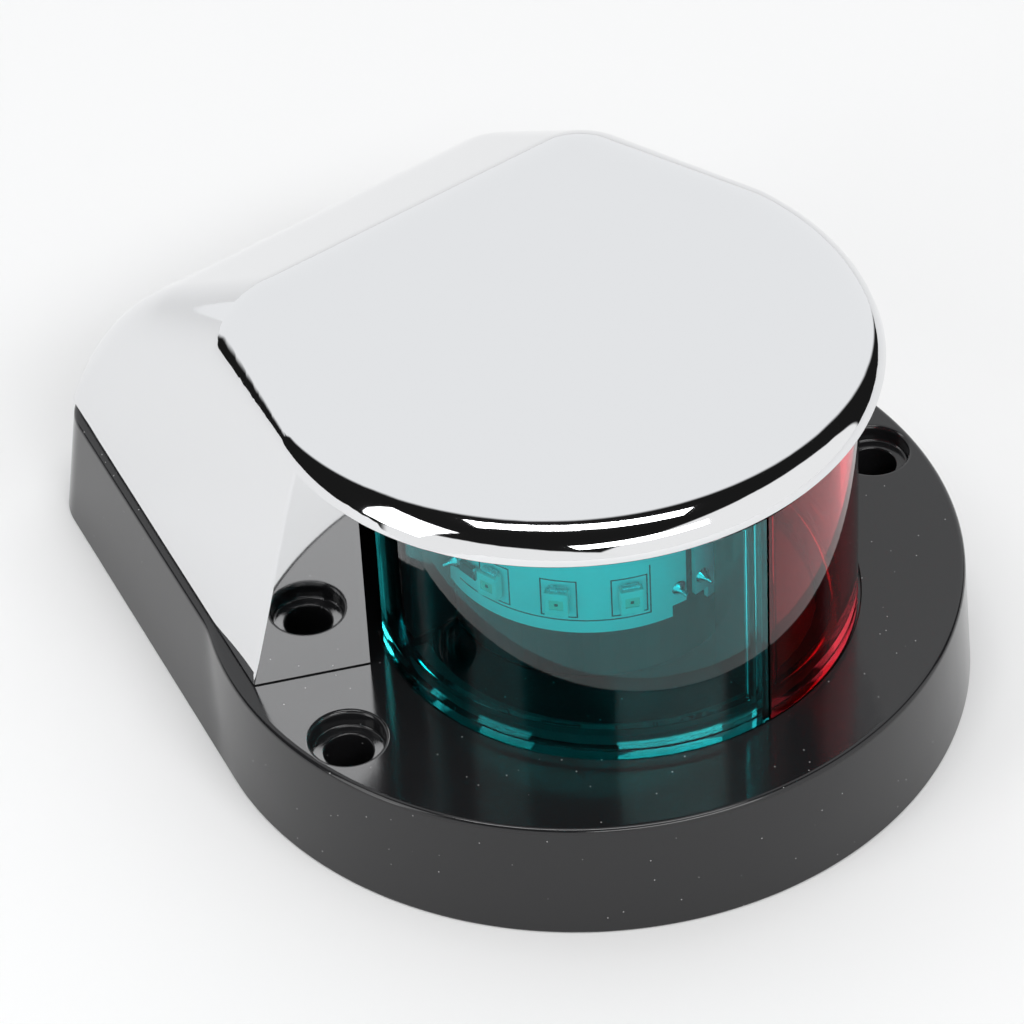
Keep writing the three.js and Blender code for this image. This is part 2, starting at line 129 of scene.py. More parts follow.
def link(name, mesh):
    obj = bpy.data.objects.new(name, mesh)
    scene.collection.objects.link(obj)
    return obj


def mesh_object(name, points, faces):
    """A closed mesh from points in millimetres, with its faces turned outwards."""
    mesh = bpy.data.meshes.new(name)
    mesh.from_pydata([Vector(p) * MM for p in points], [], faces)
    bm = bmesh.new()
    bm.from_mesh(mesh)
    bmesh.ops.recalc_face_normals(bm, faces=bm.faces)
    bm.to_mesh(mesh)
    bm.free()
    return link(name, mesh)


def loft(name, rings):
    """Quads between closed rings of equal length, capped at both ends."""
    count = len(rings[0])
    points = [p for ring in rings for p in ring]
    faces = []
    for i in range(len(rings) - 1):
        a, b = i * count, (i + 1) * count
        for j in range(count):
            k = (j + 1) % count
            faces.append((a + j, a + k, b + k, b + j))
    faces.append(tuple(range(count))[::-1])
    faces.append(tuple(range((len(rings) - 1) * count, len(rings) * count)))
    return mesh_object(name, points, faces)


def around(radius, z, x=0.0, y=0.0, count=64):
    turn = 2 * math.pi / count
    return [(x + radius * math.cos(i * turn), y + radius * math.sin(i * turn), z) for i in range(count)]


def turned(name, profile, x=0.0, y=0.0, count=64):
    """A profile of (radius, z) points turned about an upright axis. It starts and ends near the axis."""
    return loft(name, [around(max(r, 0.01), z, x, y, count) for r, z in profile])


def bow_point(centre_y, radius, degrees, z):
    """A point on a circle; the angle is counted from the bow, positive to starboard."""
    a = math.radians(degrees)
    return (-radius * math.sin(a), centre_y - radius * math.cos(a), z)


def sector(name, centre_y, profile, start, end, step=1.5):
    """A closed profile of (radius, z) points swept between two bow angles."""
    count = max(2, math.ceil((end - start) / step))
    angles = [start + (end - start) * i / count for i in range(count + 1)]
    return loft(name, [[bow_point(centre_y, r, a, z) for r, z in profile] for a in angles])


def block(name, x0, x1, y0, y1, z0, z1, edge=0.0):
    """A box, with its edges rounded when edge is above zero."""
    corners = [(x0, y0), (x1, y0), (x1, y1), (x0, y1)]
    obj = loft(name, [[(x, y, z) for x, y in corners] for z in (z0, z1)])
    if edge:
        round_edges(obj, edge)
    return obj


def bake(obj):
    """Applies the modifiers of obj."""
    depsgraph = bpy.context.evaluated_depsgraph_get()
    mesh = bpy.data.meshes.new_from_object(obj.evaluated_get(depsgraph))
    obj.modifiers.clear()
    old = obj.data
    obj.data = mesh
    bpy.data.meshes.remove(old)
    return obj


def round_edges(obj, width, segments=3, angle=40):
    modifier = obj.modifiers.new("round", "BEVEL")
    modifier.width = width * MM
    modifier.segments = segments
    modifier.limit_method = "ANGLE"
    modifier.angle_limit = math.radians(angle)
    return bake(obj)


def boolean(target, operation, *tools):
    for tool in tools:
        modifier = target.modifiers.new("boolean", "BOOLEAN")
        modifier.operation = operation
        modifier.solver = "EXACT"
        modifier.object = tool
        bake(target)
        bpy.data.objects.remove(tool)
    return target


def cut(target, *tools):
    return boolean(target, "DIFFERENCE", *tools)


def fuse(target, *tools):
    return boolean(target, "UNION", *tools)


def shade(obj, angle=32):
    """Smooth shading, with sharp edges kept and flat faces held flat."""
    bm = bmesh.new()
    bm.from_mesh(obj.data)
    bmesh.ops.remove_doubles(bm, verts=bm.verts, dist=1e-7)
    bmesh.ops.dissolve_degenerate(bm, edges=bm.edges, dist=1e-8)
    for face in bm.faces:
        face.smooth = True
    limit = math.radians(angle)
    for edge in bm.edges:
        edge.smooth = edge.is_manifold and edge.calc_face_angle(0) < limit
    bm.to_mesh(obj.data)
    bm.free()
    modifier = obj.modifiers.new("weighted", "WEIGHTED_NORMAL")
    modifier.mode = "FACE_AREA"
    modifier.weight = 50
    modifier.keep_sharp = True
    return bake(obj)


def piece(obj, material, slot, *nodes, angle=32):
    """A finished piece that rides on the frame, takes a material and stands for CAD nodes."""
    shade(obj, angle)
    obj.data.materials.clear()
    obj.data.materials.append(material)
    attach(obj, "root")
    if nodes:
        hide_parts(*nodes)
    return obj


# ---------------------------------------------------------------- materials

class Finish:
    """A node material with a Principled surface; the methods add procedural detail to it."""

    def __init__(self, name, color, roughness, metallic=0.0, **inputs):
        self.material = bpy.data.materials.new(name)
        self.material.use_nodes = True
        self.tree = self.material.node_tree
        self.surface = self.tree.nodes["Principled BSDF"]
        self.color = (*color, 1)
        self.set("Base Color", self.color)
        self.set("Roughness", roughness)
        self.set("Metallic", metallic)
        for key, value in inputs.items():
            self.set(key.replace("_", " "), value)
        self.place = self.node("ShaderNodeTexCoord").outputs["Object"]

    def set(self, key, value):
        self.surface.inputs[key].default_value = value

    def node(self, kind, **inputs):
        node = self.tree.nodes.new(kind)
        for key, value in inputs.items():
            node.inputs[key.replace("_", " ")].default_value = value
        return node

    def wire(self, source, target):
        self.tree.links.new(source, target)

    def noise(self, scale, detail=3.0):
        node = self.node("ShaderNodeTexNoise", Scale=scale, Detail=detail)
        self.wire(self.place, node.inputs["Vector"])
        return node.outputs["Fac"]

    def ramp(self, source, start, end):
        """Maps source from 0..1 to start..end."""
        node = self.node("ShaderNodeMapRange", To_Min=start, To_Max=end)
        self.wire(source, node.inputs["Value"])
        return node.outputs["Result"]

    def mottle_roughness(self, scale, start, end):
        self.wire(self.ramp(self.noise(scale), start, end), self.surface.inputs["Roughness"])
        return self

    def grain(self, scale, height, detail=3.0):
        bump = self.node("ShaderNodeBump", Strength=1.0, Distance=height * MM)
        self.wire(self.noise(scale, detail), bump.inputs["Height"])
        self.wire(bump.outputs["Normal"], self.surface.inputs["Normal"])
        return self

    def mix(self, mask, other):
        """Mixes other into what feeds the base colour, by mask."""
        node = self.tree.nodes.new("ShaderNodeMix")
        node.data_type = "RGBA"
        target = self.surface.inputs["Base Color"]
        if target.is_linked:
            self.wire(target.links[0].from_socket, node.inputs[6])
        else:
            node.inputs[6].default_value = target.default_value
        node.inputs[7].default_value = (*other, 1)
        self.wire(mask, node.inputs["Factor"])
        self.wire(node.outputs[2], target)
        return self

    def mottle(self, scale, other, amount=0.5):
        return self.mix(self.ramp(self.noise(scale), 0.0, amount), other)

    def dust(self, cells, size, share, color=(0.35, 0.35, 0.35)):
        """Sparse specks: one in some of the cells, size as a fraction of a cell."""
        speck = self.node("ShaderNodeTexVoronoi", Scale=cells)
        self.wire(self.place, speck.inputs["Vector"])
        near = self.node("ShaderNodeMath")
        near.operation = "LESS_THAN"
        near.inputs[1].default_value = size
        self.wire(speck.outputs["Distance"], near.inputs[0])
        some = self.node("ShaderNodeMath")
        some.operation = "LESS_THAN"
        some.inputs[1].default_value = share
        self.wire(speck.outputs["Color"], some.inputs[0])
        both = self.node("ShaderNodeMath")
        both.operation = "MULTIPLY"
        self.wire(near.outputs[0], both.inputs[0])
        self.wire(some.outputs[0], both.inputs[1])
        return self.mix(both.outputs[0], color)


def lens_finish(name, tint):
    finish = Finish(name, tint, 0.02, Transmission_Weight=1.0, IOR=1.49)
    return finish.grain(900, 0.0006).material


black = (0.012, 0.012, 0.013)
BASE = Finish("base_plastic", black, 0.12, IOR=1.5)
BASE.mottle_roughness(60, 0.08, 0.16).grain(2500, 0.002).dust(700, 0.06, 0.5)
CHROME = Finish("hood_chrome", (0.775, 0.78, 0.79), 0.03, metallic=1.0)
CHROME.mottle_roughness(45, 0.02, 0.05).grain(120, 0.002, 1.0)
HOOD_INSIDE = Finish("hood_inside", (0.02, 0.02, 0.02), 0.5).grain(1500, 0.01)
LENS_GREEN = lens_finish("lens_green", (0.04, 0.93, 0.97))
LENS_RED = lens_finish("lens_red", (0.93, 0.05, 0.08))
DIVIDER = Finish("divider_plastic", (0.01, 0.01, 0.011), 0.08).mottle_roughness(80, 0.06, 0.12)
CARRIER = Finish("carrier_plastic", (0.02, 0.02, 0.021), 0.3).grain(1800, 0.006)
RUBBER = Finish("seal_rubber", (0.02, 0.02, 0.02), 0.7).grain(2200, 0.02).mottle(90, (0.05, 0.05, 0.05))
BOARD = Finish("board_white", (0.86, 0.87, 0.85), 0.35).grain(700, 0.004).mottle(150, (0.78, 0.79, 0.76))
MARK = Finish("board_mark", (0.02, 0.02, 0.02), 0.5).mottle(800, (0.05, 0.05, 0.05))
LED_BODY = Finish("led_body", (0.85, 0.84, 0.78), 0.4).grain(3000, 0.003).mottle(500, (0.8, 0.78, 0.7))
LED_WINDOW = Finish("led_window", (0.80, 0.78, 0.62), 0.08, Coat_Weight=0.6).mottle(900, (0.6, 0.6, 0.5))
LED_DIE = Finish("led_die", (0.03, 0.03, 0.035), 0.25).mottle(2500, (0.2, 0.18, 0.1))
TINNED = Finish("tinned", (0.74, 0.75, 0.76), 0.22, metallic=1.0).mottle_roughness(900, 0.12, 0.4)
CERAMIC = Finish("resistor_ceramic", (0.03, 0.03, 0.034), 0.3).grain(3000, 0.004)
CERAMIC.mottle(1500, (0.06, 0.06, 0.06))
WIRE_RED = Finish("wire_red", (0.55, 0.02, 0.02), 0.35).grain(1600, 0.004).mottle(300, (0.4, 0.01, 0.01))
WIRE_BLACK = Finish("wire_black", (0.02, 0.02, 0.02), 0.35).grain(1600, 0.004)
WIRE_BLACK.mottle(300, (0.04, 0.04, 0.04))
NYLON = Finish("cap_nylon", (0.82, 0.80, 0.74), 0.45, Subsurface_Weight=0.2).grain(1200, 0.01)
STEEL = Finish("screw_steel", (0.62, 0.63, 0.64), 0.28, metallic=1.0).mottle_roughness(500, 0.2, 0.4)


# ---------------------------------------------------------------- camera, floor and light

def place_camera():
    azimuth, elevation, roll = (math.radians(d) for d in (-34.97, 41.55, -3.19))
    aim = Vector((-3.92, -2.15, 20)) * MM
    back = Vector((
        math.sin(azimuth) * math.cos(elevation),
        -math.cos(azimuth) * math.cos(elevation),
        math.sin(elevation),
    ))
    right = Vector((math.cos(azimuth), math.sin(azimuth), 0))
    up = back.cross(right)
    tilted_right = math.cos(roll) * right + math.sin(roll) * up
    tilted_up = math.cos(roll) * up - math.sin(roll) * right
    data = bpy.data.cameras.new("camera")
    data.lens = 172.33
    data.sensor_width = 36
    data.clip_start = 0.02
    data.clip_end = 50
    camera = bpy.data.objects.new("camera", data)
    scene.collection.objects.link(camera)
    turn = Matrix((tilted_right, tilted_up, back)).transposed().to_4x4()
    camera.matrix_world = Matrix.Translation(aim + back * 0.6) @ turn
    scene.camera = camera


def make_floor():
    """A plain white table top."""
    size = 0.6
    floor = mesh_object("floor", [
        (-size / MM, -size / MM, 0), (size / MM, -size / MM, 0),
        (size / MM, size / MM, 0), (-size / MM, size / MM, 0),
    ], [(0, 1, 2, 3)])
    finish = Finish("floor_white", (0.9, 0.9, 0.9), 0.9)
    finish.mottle(3, (0.89, 0.89, 0.895), 0.3)
    floor.data.materials.append(finish.material)


def towards(azimuth, elevation):
    """A direction from its azimuth, counted from the bow to port, and its elevation, in degrees."""
    a, e = math.radians(azimuth), math.radians(elevation)
    return Vector((math.sin(a) * math.cos(e), -math.cos(a) * math.cos(e), math.sin(e)))


def make_world(glows):
    """A dark room with round bright areas; each has a direction, a half-angle, an edge and a colour."""
    world = bpy.data.worlds.new("studio")
    scene.world = world
    world.use_nodes = True
    tree = world.node_tree
    place = tree.nodes.new("ShaderNodeTexCoord").outputs["Generated"]
    color = None
    for azimuth, elevation, half, edge, glow in glows:
        near = tree.nodes.new("ShaderNodeVectorMath")
        near.operation = "DOT_PRODUCT"
        near.inputs[1].default_value = towards(azimuth, elevation)
        tree.links.new(place, near.inputs[0])
        inside = tree.nodes.new("ShaderNodeMapRange")
        inside.interpolation_type = "SMOOTHSTEP"
        inside.inputs["From Min"].default_value = math.cos(math.radians(half + edge))
        inside.inputs["From Max"].default_value = math.cos(math.radians(half - edge))
        tree.links.new(near.outputs["Value"], inside.inputs["Value"])
        mix = tree.nodes.new("ShaderNodeMix")
        mix.data_type = "RGBA"
        mix.inputs[7].default_value = (*glow, 1)
        tree.links.new(inside.outputs["Result"], mix.inputs["Factor"])
        if color:
            tree.links.new(color, mix.inputs[6])
        else:
            mix.inputs[6].default_value = (0.012, 0.012, 0.012, 1)
        color = mix.outputs[2]
    tree.links.new(color, tree.nodes["Background"].inputs["Color"])


def softbox(name, azimuth, elevation, across, upright, radiance):
    """A rectangular lamp aimed at the part; its sizes are angles as seen from the part."""
    distance = 1.5
    data = bpy.data.lights.new(name, "AREA")
    data.shape = "RECTANGLE"
    data.size = 2 * distance * math.tan(math.radians(across / 2))
    data.size_y = 2 * distance * math.tan(math.radians(upright / 2))
    data.energy = radiance * math.pi * data.size * data.size_y
    light = bpy.data.objects.new(name, data)
    scene.collection.objects.link(light)
    direction = towards(azimuth, elevation)
    light.location = direction * distance
    light.rotation_euler = direction.to_track_quat("Z", "Y").to_euler()


place_camera()
make_floor()
make_world([
    (151.6, 33.4, 55.9, 1.5, (0.98, 0.99, 1)),
    (20, 0, 51.5, 1, (1.02, 1.02, 1.02)),
    (-60, -5, 40, 1.5, (1, 1, 1)),
])
softbox("overhead", -33, 79, 42, 8, 8.8)
softbox("left", -97, 27, 22, 42, 2.5)
softbox("right", -12, 42, 38, 11, 6.5)
scene.view_settings.view_transform = "Standard"


# ---------------------------------------------------------------- base

def tapered_outline(offset, rear, corner):
    """Plan outline about the drum's centre: round front, straight tapering sides, rounded rear corners."""
    y = rear - corner
    x = (offset - corner - math.sin(SIDE_TAPER) * (y - DRUM_Y)) / math.cos(SIDE_TAPER)
    points = []
    for i in range(181):
        a = SIDE_TAPER - (math.pi + 2 * SIDE_TAPER) * i / 180
        points.append((offset * math.cos(a), DRUM_Y + offset * math.sin(a)))
    for centre_x, start, end in ((-x, math.pi - SIDE_TAPER, math.pi / 2), (x, math.pi / 2, SIDE_TAPER)):
        for i in range(41):
            a = start + (end - start) * i / 40
            points.append((centre_x + corner * math.cos(a), y + corner * math.sin(a)))
    return points


def polar_outline(points, step=0.3):
    """The outline's radius about the drum's centre, as a function of the angle."""
    dense = []
    for (x0, y0), (x1, y1) in zip(points, points[1:] + points[:1]):
        count = max(1, round(math.hypot(x1 - x0, y1 - y0) / step))
        for i in range(count):
            dense.append((x0 + (x1 - x0) * i / count, y0 + (y1 - y0) * i / count - DRUM_Y))
    angles = np.array([math.atan2(y, x) for x, y in dense])
    radii = np.array([math.hypot(x, y) for x, y in dense])
    order = np.argsort(angles)
    angles, radii = angles[order], radii[order]
    return lambda a: np.interp(a, angles, radii, period=2 * math.pi)


def base_radius(angles, z, inset):
    """Radius of the base about the drum's centre: the drum and the block, with a soft inner corner."""
    t = min(max(z / DECK_Z, 0), 1)
    drum = BASE_HALF - DRAFT * t - inset
    offset = BASE_HALF + (BLOCK_OFFSET - BASE_HALF) * t - inset
    rear = BASE_REAR + (DECK_REAR - BASE_REAR) * t - inset
    side = polar_outline(tapered_outline(offset, rear, CORNER - inset))(angles)
    blend = 0.7 * t + 1e-6
    overlap = np.maximum(blend - np.abs(side - drum), 0) / blend
    return np.maximum(side, drum) + overlap ** 3 * blend / 6


def base_angles(count):
    """Angles spaced evenly along the base's outline."""
    a = np.linspace(-math.pi, math.pi, 4001)
    r = base_radius(a, 0, 0)
    x, y = r * np.cos(a), r * np.sin(a)
    length = np.concatenate(([0], np.cumsum(np.hypot(np.diff(x), np.diff(y)))))
    return np.interp(np.linspace(0, length[-1], count + 1)[:-1], length, a)


def base_ring(angles, z, inset):
    radius = base_radius(angles, z, inset)
    return [(r * math.cos(a), DRUM_Y + r * math.sin(a), z) for r, a in zip(radius, angles)]


def quarter_turn(count):
    """Angles from zero to a right angle, in count steps."""
    return [math.pi / 2 * i / count for i in range(count + 1)]


def fillet_steps(radius, count):
    """(inset, drop) pairs round an outer edge, from the wall to the top face."""
    return [(radius * (1 - math.cos(t)), radius * (1 - math.sin(t))) for t in quarter_turn(count)]


def base_shell():
    angles = base_angles(600)
    foot_edge, deck_edge = 0.3, 0.7
    rings = [base_ring(angles, drop, inset) for inset, drop in reversed(fillet_steps(foot_edge, 3))]
    rings += [base_ring(angles, z, 0) for z in (4, 8, 12)]
    rings += [base_ring(angles, DECK_Z - drop, inset) for inset, drop in fillet_steps(deck_edge, 7)]
    return loft("base_housing_shell", rings)


def base_hollow():
    """What is hollow under the base, between its ribs and bosses."""
    angles = base_angles(240)
    underside = DECK_Z - PLATE
    hollow = loft("hollow", [base_ring(angles, z, BASE_WALL) for z in (-1, underside - 0.6)]
                  + [base_ring(angles, underside, BASE_WALL + 0.6)])
    ribs = [block("rib", -RIB_HALF, RIB_HALF, -60, 60, RIB_FOOT, DECK_Z)]
    ribs += [block("rib", -45, 45, y - RIB_HALF, y + RIB_HALF, RIB_FOOT, DECK_Z) for y in CROSS_RIBS]
    column = [(0, -2), (HOLE_BOSS, -2), (HOLE_BOSS, DECK_Z), (0, DECK_Z)]
    bosses = [turned("boss", column, side * HOLE_X, HOLE_Y) for side in (-1, 1)]
    radius, foot = 8, 8
    column = [(0, foot), (radius, foot), (radius, DECK_Z), (0, DECK_Z)]
    bosses.append(turned("boss", column, 0, GROMMET_Y))
    return cut(hollow, *ribs, *bosses)


def mounting_hole(x, y):
    """The space of a counterbored hole with rounded edges."""
    mouth, inside, edge = 0.55, 0.35, 0.25
    floor = DECK_Z - HOLE_DEPTH
    profile = [(0, DECK_Z + 3), (HOLE_SEAT + mouth, DECK_Z + 3), (HOLE_SEAT + mouth, DECK_Z)]
    profile += [(HOLE_SEAT + mouth * (1 - math.sin(t)), DECK_Z - mouth + mouth * math.cos(t))
                for t in quarter_turn(6)[1:]]
    profile += [(HOLE_SEAT - inside * (1 - math.cos(t)), floor + inside * (1 - math.sin(t)))
                for t in quarter_turn(4)]
    profile += [(HOLE_BORE + edge * (1 - math.sin(t)), floor - edge * (1 - math.cos(t)))
                for t in quarter_turn(3)]
    profile += [(HOLE_BORE, -2), (0, -2)]
    return turned("hole", profile, x, y, 96)


def lens_groove():
    inner, outer = LENS_RADIUS - 3 - GAP, LENS_RADIUS + GAP
    foot = LENS_FOOT - GAP
    profile = [(inner, foot), (outer, foot), (outer, DECK_Z - 0.15), (outer + 0.15, DECK_Z),
               (outer + 0.15, DECK_Z + 2), (inner, DECK_Z + 2)]
    return sector("groove", LENS_Y, profile, -LENS_END - 3, LENS_END + 3)


def screw_holes(x, y):
    recess = DECK_Z - PLATE
    mouth, head, shank = 4.3, 4, 2.1
    profile = [(0, -1), (mouth, -1), (head, recess), (shank, recess), (shank, DECK_Z + 2), (0, DECK_Z + 2)]
    return turned("screw_hole", profile, x, y, 40)


def make_base():
    shell = base_shell()
    cut(shell, base_hollow())
    cut(shell, *[mounting_hole(side * HOLE_X, HOLE_Y) for side in (-1, 1)])
    cut(shell, *[screw_holes(x, y) for x, y in (*COVER_SCREWS, *CARRIER_SCREWS)])
    clear = GROMMET_HOLE + GAP
    flange = clear + 1.2
    profile = [(0, -1), (flange, -1), (flange, 10), (clear, 10), (clear, DECK_Z + 2), (0, DECK_Z + 2)]
    cut(shell, turned("grommet_hole", profile, 0, GROMMET_Y, 48))
    cut(shell, lens_groove())
    piece(shell, BASE.material, "base_plastic", "base_housing")


make_base()


# ---------------------------------------------------------------- hood

def side_x(y, z, inset):
    """Half-width of the hood's leaning side plane, moved in by inset."""
    reach = HOOD_FOOT * math.cos(SIDE_LEAN) - inset
    aft = math.sin(SIDE_TAPER) * math.cos(SIDE_LEAN) * (y - DRUM_Y)
    lean = math.sin(SIDE_LEAN) * (z - DECK_Z)
    return (reach - aft - lean) / (math.cos(SIDE_TAPER) * math.cos(SIDE_LEAN))


def side_normal(side):
    return Vector((
        side * math.cos(SIDE_TAPER) * math.cos(SIDE_LEAN),
        math.sin(SIDE_TAPER) * math.cos(SIDE_LEAN),
        math.sin(SIDE_LEAN),
    ))


class HoodForm:
    """The hood's convex form, moved in by inset: the wrap of the side planes' feet, balls along both
    rear edges and an elliptical brim."""

    def __init__(self, inset, steps):
        balls = []
        for side in (-1, 1):
            for y in (DRUM_Y - 16, DRUM_Y + 40):
                balls.append((side * side_x(y, REAR_Z, inset), y, REAR_Z, 0))
            for i in range(steps + 1):
                t = i / steps
                a = REAR_START + (math.pi / 2 - REAR_START) * t
                edge = REAR_EDGE_FOOT + (REAR_EDGE_TOP - REAR_EDGE_FOOT) * t
                y = REAR_Y + (REAR_RADIUS - edge) * math.cos(a)
                z = REAR_Z + (REAR_RADIUS - edge) * math.sin(a) if i < steps else TOP_Z - edge
                balls.append((side * side_x(y, z, edge), y, z, max(edge - inset, 0.2)))
        self.balls = np.array(balls)
        self.across, self.height = BRIM_ACROSS - inset, BRIM_HEIGHT - inset

    def brim(self, n):
        """The brim's outermost points in the directions n."""
        about = np.arctan2(n[:, 1], n[:, 0])
        near = np.where(about > math.pi / 2, math.pi - SIDE_TAPER, SIDE_TAPER)
        about = np.where((about > SIDE_TAPER) & (about < math.pi - SIDE_TAPER), near, about)
        outwards = np.maximum(n[:, 0] * np.cos(about) + n[:, 1] * np.sin(about), 1e-9)
        up = np.clip(np.arctan2(self.height * n[:, 2], self.across * outwards), 0, math.pi / 2)
        radius = DISC_RADIUS - BRIM_ACROSS + self.across * np.cos(up)
        return np.column_stack([radius * np.cos(about), DISC_Y + radius * np.sin(about),
                                RIM_Z + self.height * np.sin(up)])

    def reach(self, n):
        """How far each body reaches in each direction; the brim is the last body."""
        balls = n @ self.balls[:, :3].T + self.balls[:, 3]
        return np.column_stack([balls, (n * self.brim(n)).sum(axis=1)])

    def outermost(self, bodies, n):
        """The outermost point of each body in its own direction."""
        ball = self.balls[np.minimum(bodies, len(self.balls) - 1)]
        return np.where((bodies == len(self.balls))[:, None], self.brim(n), ball[:, :3] + n * ball[:, 3:])

    def ties(self, n, pairs, bodies):
        """Directions between each pair in which the bodies outermost at its two ends reach equally far."""
        start, end = n[pairs[:, 0]], n[pairs[:, 1]]
        first, second = bodies[pairs[:, 0]], bodies[pairs[:, 1]]
        for _ in range(30):
            middle = start + end
            middle /= np.linalg.norm(middle, axis=1, keepdims=True)
            lead = ((self.outermost(first, middle) - self.outermost(second, middle)) * middle).sum(axis=1)
            start = np.where(lead[:, None] > 0, middle, start)
            end = np.where(lead[:, None] > 0, end, middle)
        return middle

    def skin_points(self, subdivisions):
        """Points of the skin with their outward normals, as rows of six numbers."""
        bm = bmesh.new()
        bmesh.ops.create_icosphere(bm, subdivisions=subdivisions, radius=1)
        spread = np.array([v.co for v in bm.verts])
        spread /= np.linalg.norm(spread, axis=1, keepdims=True)
        pairs = np.array([[v.index for v in e.verts] for e in bm.edges])
        bm.free()
        astern = np.array([(0, math.cos(a), math.sin(a)) for a in np.linspace(0, math.pi / 2, 181)])
        runs = np.arange(len(astern) - 1) + len(spread)
        pairs = np.concatenate([pairs, np.column_stack([runs, runs + 1])])
        directions = np.concatenate([spread, astern])
        best = self.reach(directions).argmax(axis=1)
        points = self.outermost(best, directions)
        apart = np.linalg.norm(points[pairs[:, 0]] - points[pairs[:, 1]], axis=1) > 2
        flats = np.array([side_normal(-1), side_normal(1), (0, 0, 1)])
        shared = np.concatenate([flats, astern, self.ties(directions, pairs[apart], best)])
        reach = self.reach(shared)
        rows, bodies = np.nonzero(reach > reach.max(axis=1, keepdims=True) - 0.003)
        found = [np.column_stack([self.outermost(bodies, shared[rows]), shared[rows]]),
                 np.column_stack([points, directions])[:len(spread)]]
        rows = np.concatenate(found)
        foot = rows[:, 2] < REAR_Z + 0.001
        rows[foot, 3:] = np.where(rows[foot, :1] > 0, flats[1], flats[0])
        return rows[rows[:, 2] > REAR_Z - 0.001]


def convex(found):
    """The convex hull of points, as a bmesh whose vertices carry their normals in a layer."""
    bm = bmesh.new()
    layer = bm.verts.layers.float_vector.new("normal")
    for row in found:
        bm.verts.new(row[:3])[layer] = row[3:]
    bmesh.ops.remove_doubles(bm, verts=bm.verts, dist=0.002)
    made = bmesh.ops.convex_hull(bm, input=bm.verts, use_existing_faces=False)
    unused = {v for v in made["geom_interior"] + made["geom_unused"] if isinstance(v, bmesh.types.BMVert)}
    bmesh.ops.delete(bm, geom=list(unused), context="VERTS")
    bmesh.ops.recalc_face_normals(bm, faces=bm.faces)
    for vert in bm.verts:
        own = Vector(vert[layer])
        near = [f.normal * f.calc_area() for f in vert.link_faces if f.normal.dot(own) > 0.95]
        if near:
            vert[layer] = sum(near, Vector()).normalized()
    return bm


class Skin:
    """Looks up the hood's true normal at a point on its outer surface."""

    def __init__(self, bm):
        layer = bm.verts.layers.float_vector["normal"]
        bm.verts.index_update()
        self.points = [v.co.copy() for v in bm.verts]
        self.normals = [Vector(v[layer]) for v in bm.verts]
        self.faces = [[v.index for v in f.verts] for f in bm.faces]
        self.tree = BVHTree.FromPolygons(self.points, self.faces)

    def at(self, point):
        """(normal, distance) at the nearest place on the surface."""
        place, _, index, distance = self.tree.find_nearest(point)
        face = self.faces[index]
        weights = poly_3d_calc([self.points[i] for i in face], place)
        normal = sum((self.normals[i] * w for i, w in zip(face, weights)), Vector())
        return normal.normalized(), distance


def direction(u):
    """A level direction from the axis where the two front faces meet: 0 is astern, positive to port."""
    return Vector((math.sin(u), math.cos(u), 0))


class HoodSurface:
    """The hood's outer surface, found by casting rays from the axis where the front faces meet."""

    def __init__(self):
        bm = convex(HoodForm(0, 40).skin_points(6))
        self.skin = Skin(bm)
        bm.free()
        self.axis_y = FACE_Y + FACE_X * math.tan(FACE_ANGLE)
        self.face_u = math.pi / 2 - FACE_ANGLE

    def side(self, u, z):
        origin = Vector((0, self.axis_y, z))
        return self.skin.tree.ray_cast(origin, direction(u))[0]

    def top(self, u, distance):
        origin = Vector((0, self.axis_y, TOP_Z + 10)) + direction(u) * distance
        return self.skin.tree.ray_cast(origin, Vector((0, 0, -1)))[0]

    def normal(self, point):
        return self.skin.at(point)[0]

    def behind_face(self, side, z, margin):
        """The surface point at a height, a margin behind a front face."""
        distance = 47.0
        for _ in range(3):
            u = side * (self.face_u - math.asin(margin / distance))
            point = self.side(u, z)
            distance = math.hypot(point.x, point.y - self.axis_y)
        return point

    def columns(self, start, end, count, heights):
        """Angles from start to end, closer together where the outline turns."""
        dense = np.linspace(start, end, 900)
        weight = np.zeros(len(dense) - 1)
        for z in heights:
            points = np.array([self.side(u, z)[:2] for u in dense])
            steps = np.diff(points, axis=0)
            length = np.hypot(*steps.T)
            heading = np.unwrap(np.arctan2(steps[:, 1], steps[:, 0]))
            turn = np.abs(np.diff(heading, prepend=heading[0]))
            turn = np.convolve(turn, np.ones(15) / 15, mode="same")
            weight += length / length.sum() + 1.2 * turn / max(turn.sum(), 1e-6)
        total = np.concatenate(([0], np.cumsum(weight)))
        return np.interp(np.linspace(0, total[-1], count + 1), total, dense)

    def crown(self, u, first, count):
        """Points from a point on the side, over the top, towards the axis."""
        reach = math.hypot(first.x, first.y - self.axis_y)
        lean = np.linspace(math.pi / 2, 0, 260)[1:]
        distances = [reach] + [reach * math.sin(t) for t in lean]
        points = [first] + [self.top(u, d) for d in distances[1:]]
        normals = [self.normal(p) for p in points]
        weight = [0.0]
        for i in range(1, len(points)):
            bend = normals[i].angle(normals[i - 1], 0)
            weight.append(weight[-1] + (points[i] - points[i - 1]).length / reach + 1.6 * bend)
        chosen = np.interp(np.linspace(0, weight[-1], count + 1)[1:-1], weight, distances)
        return [self.top(u, d) for d in chosen]


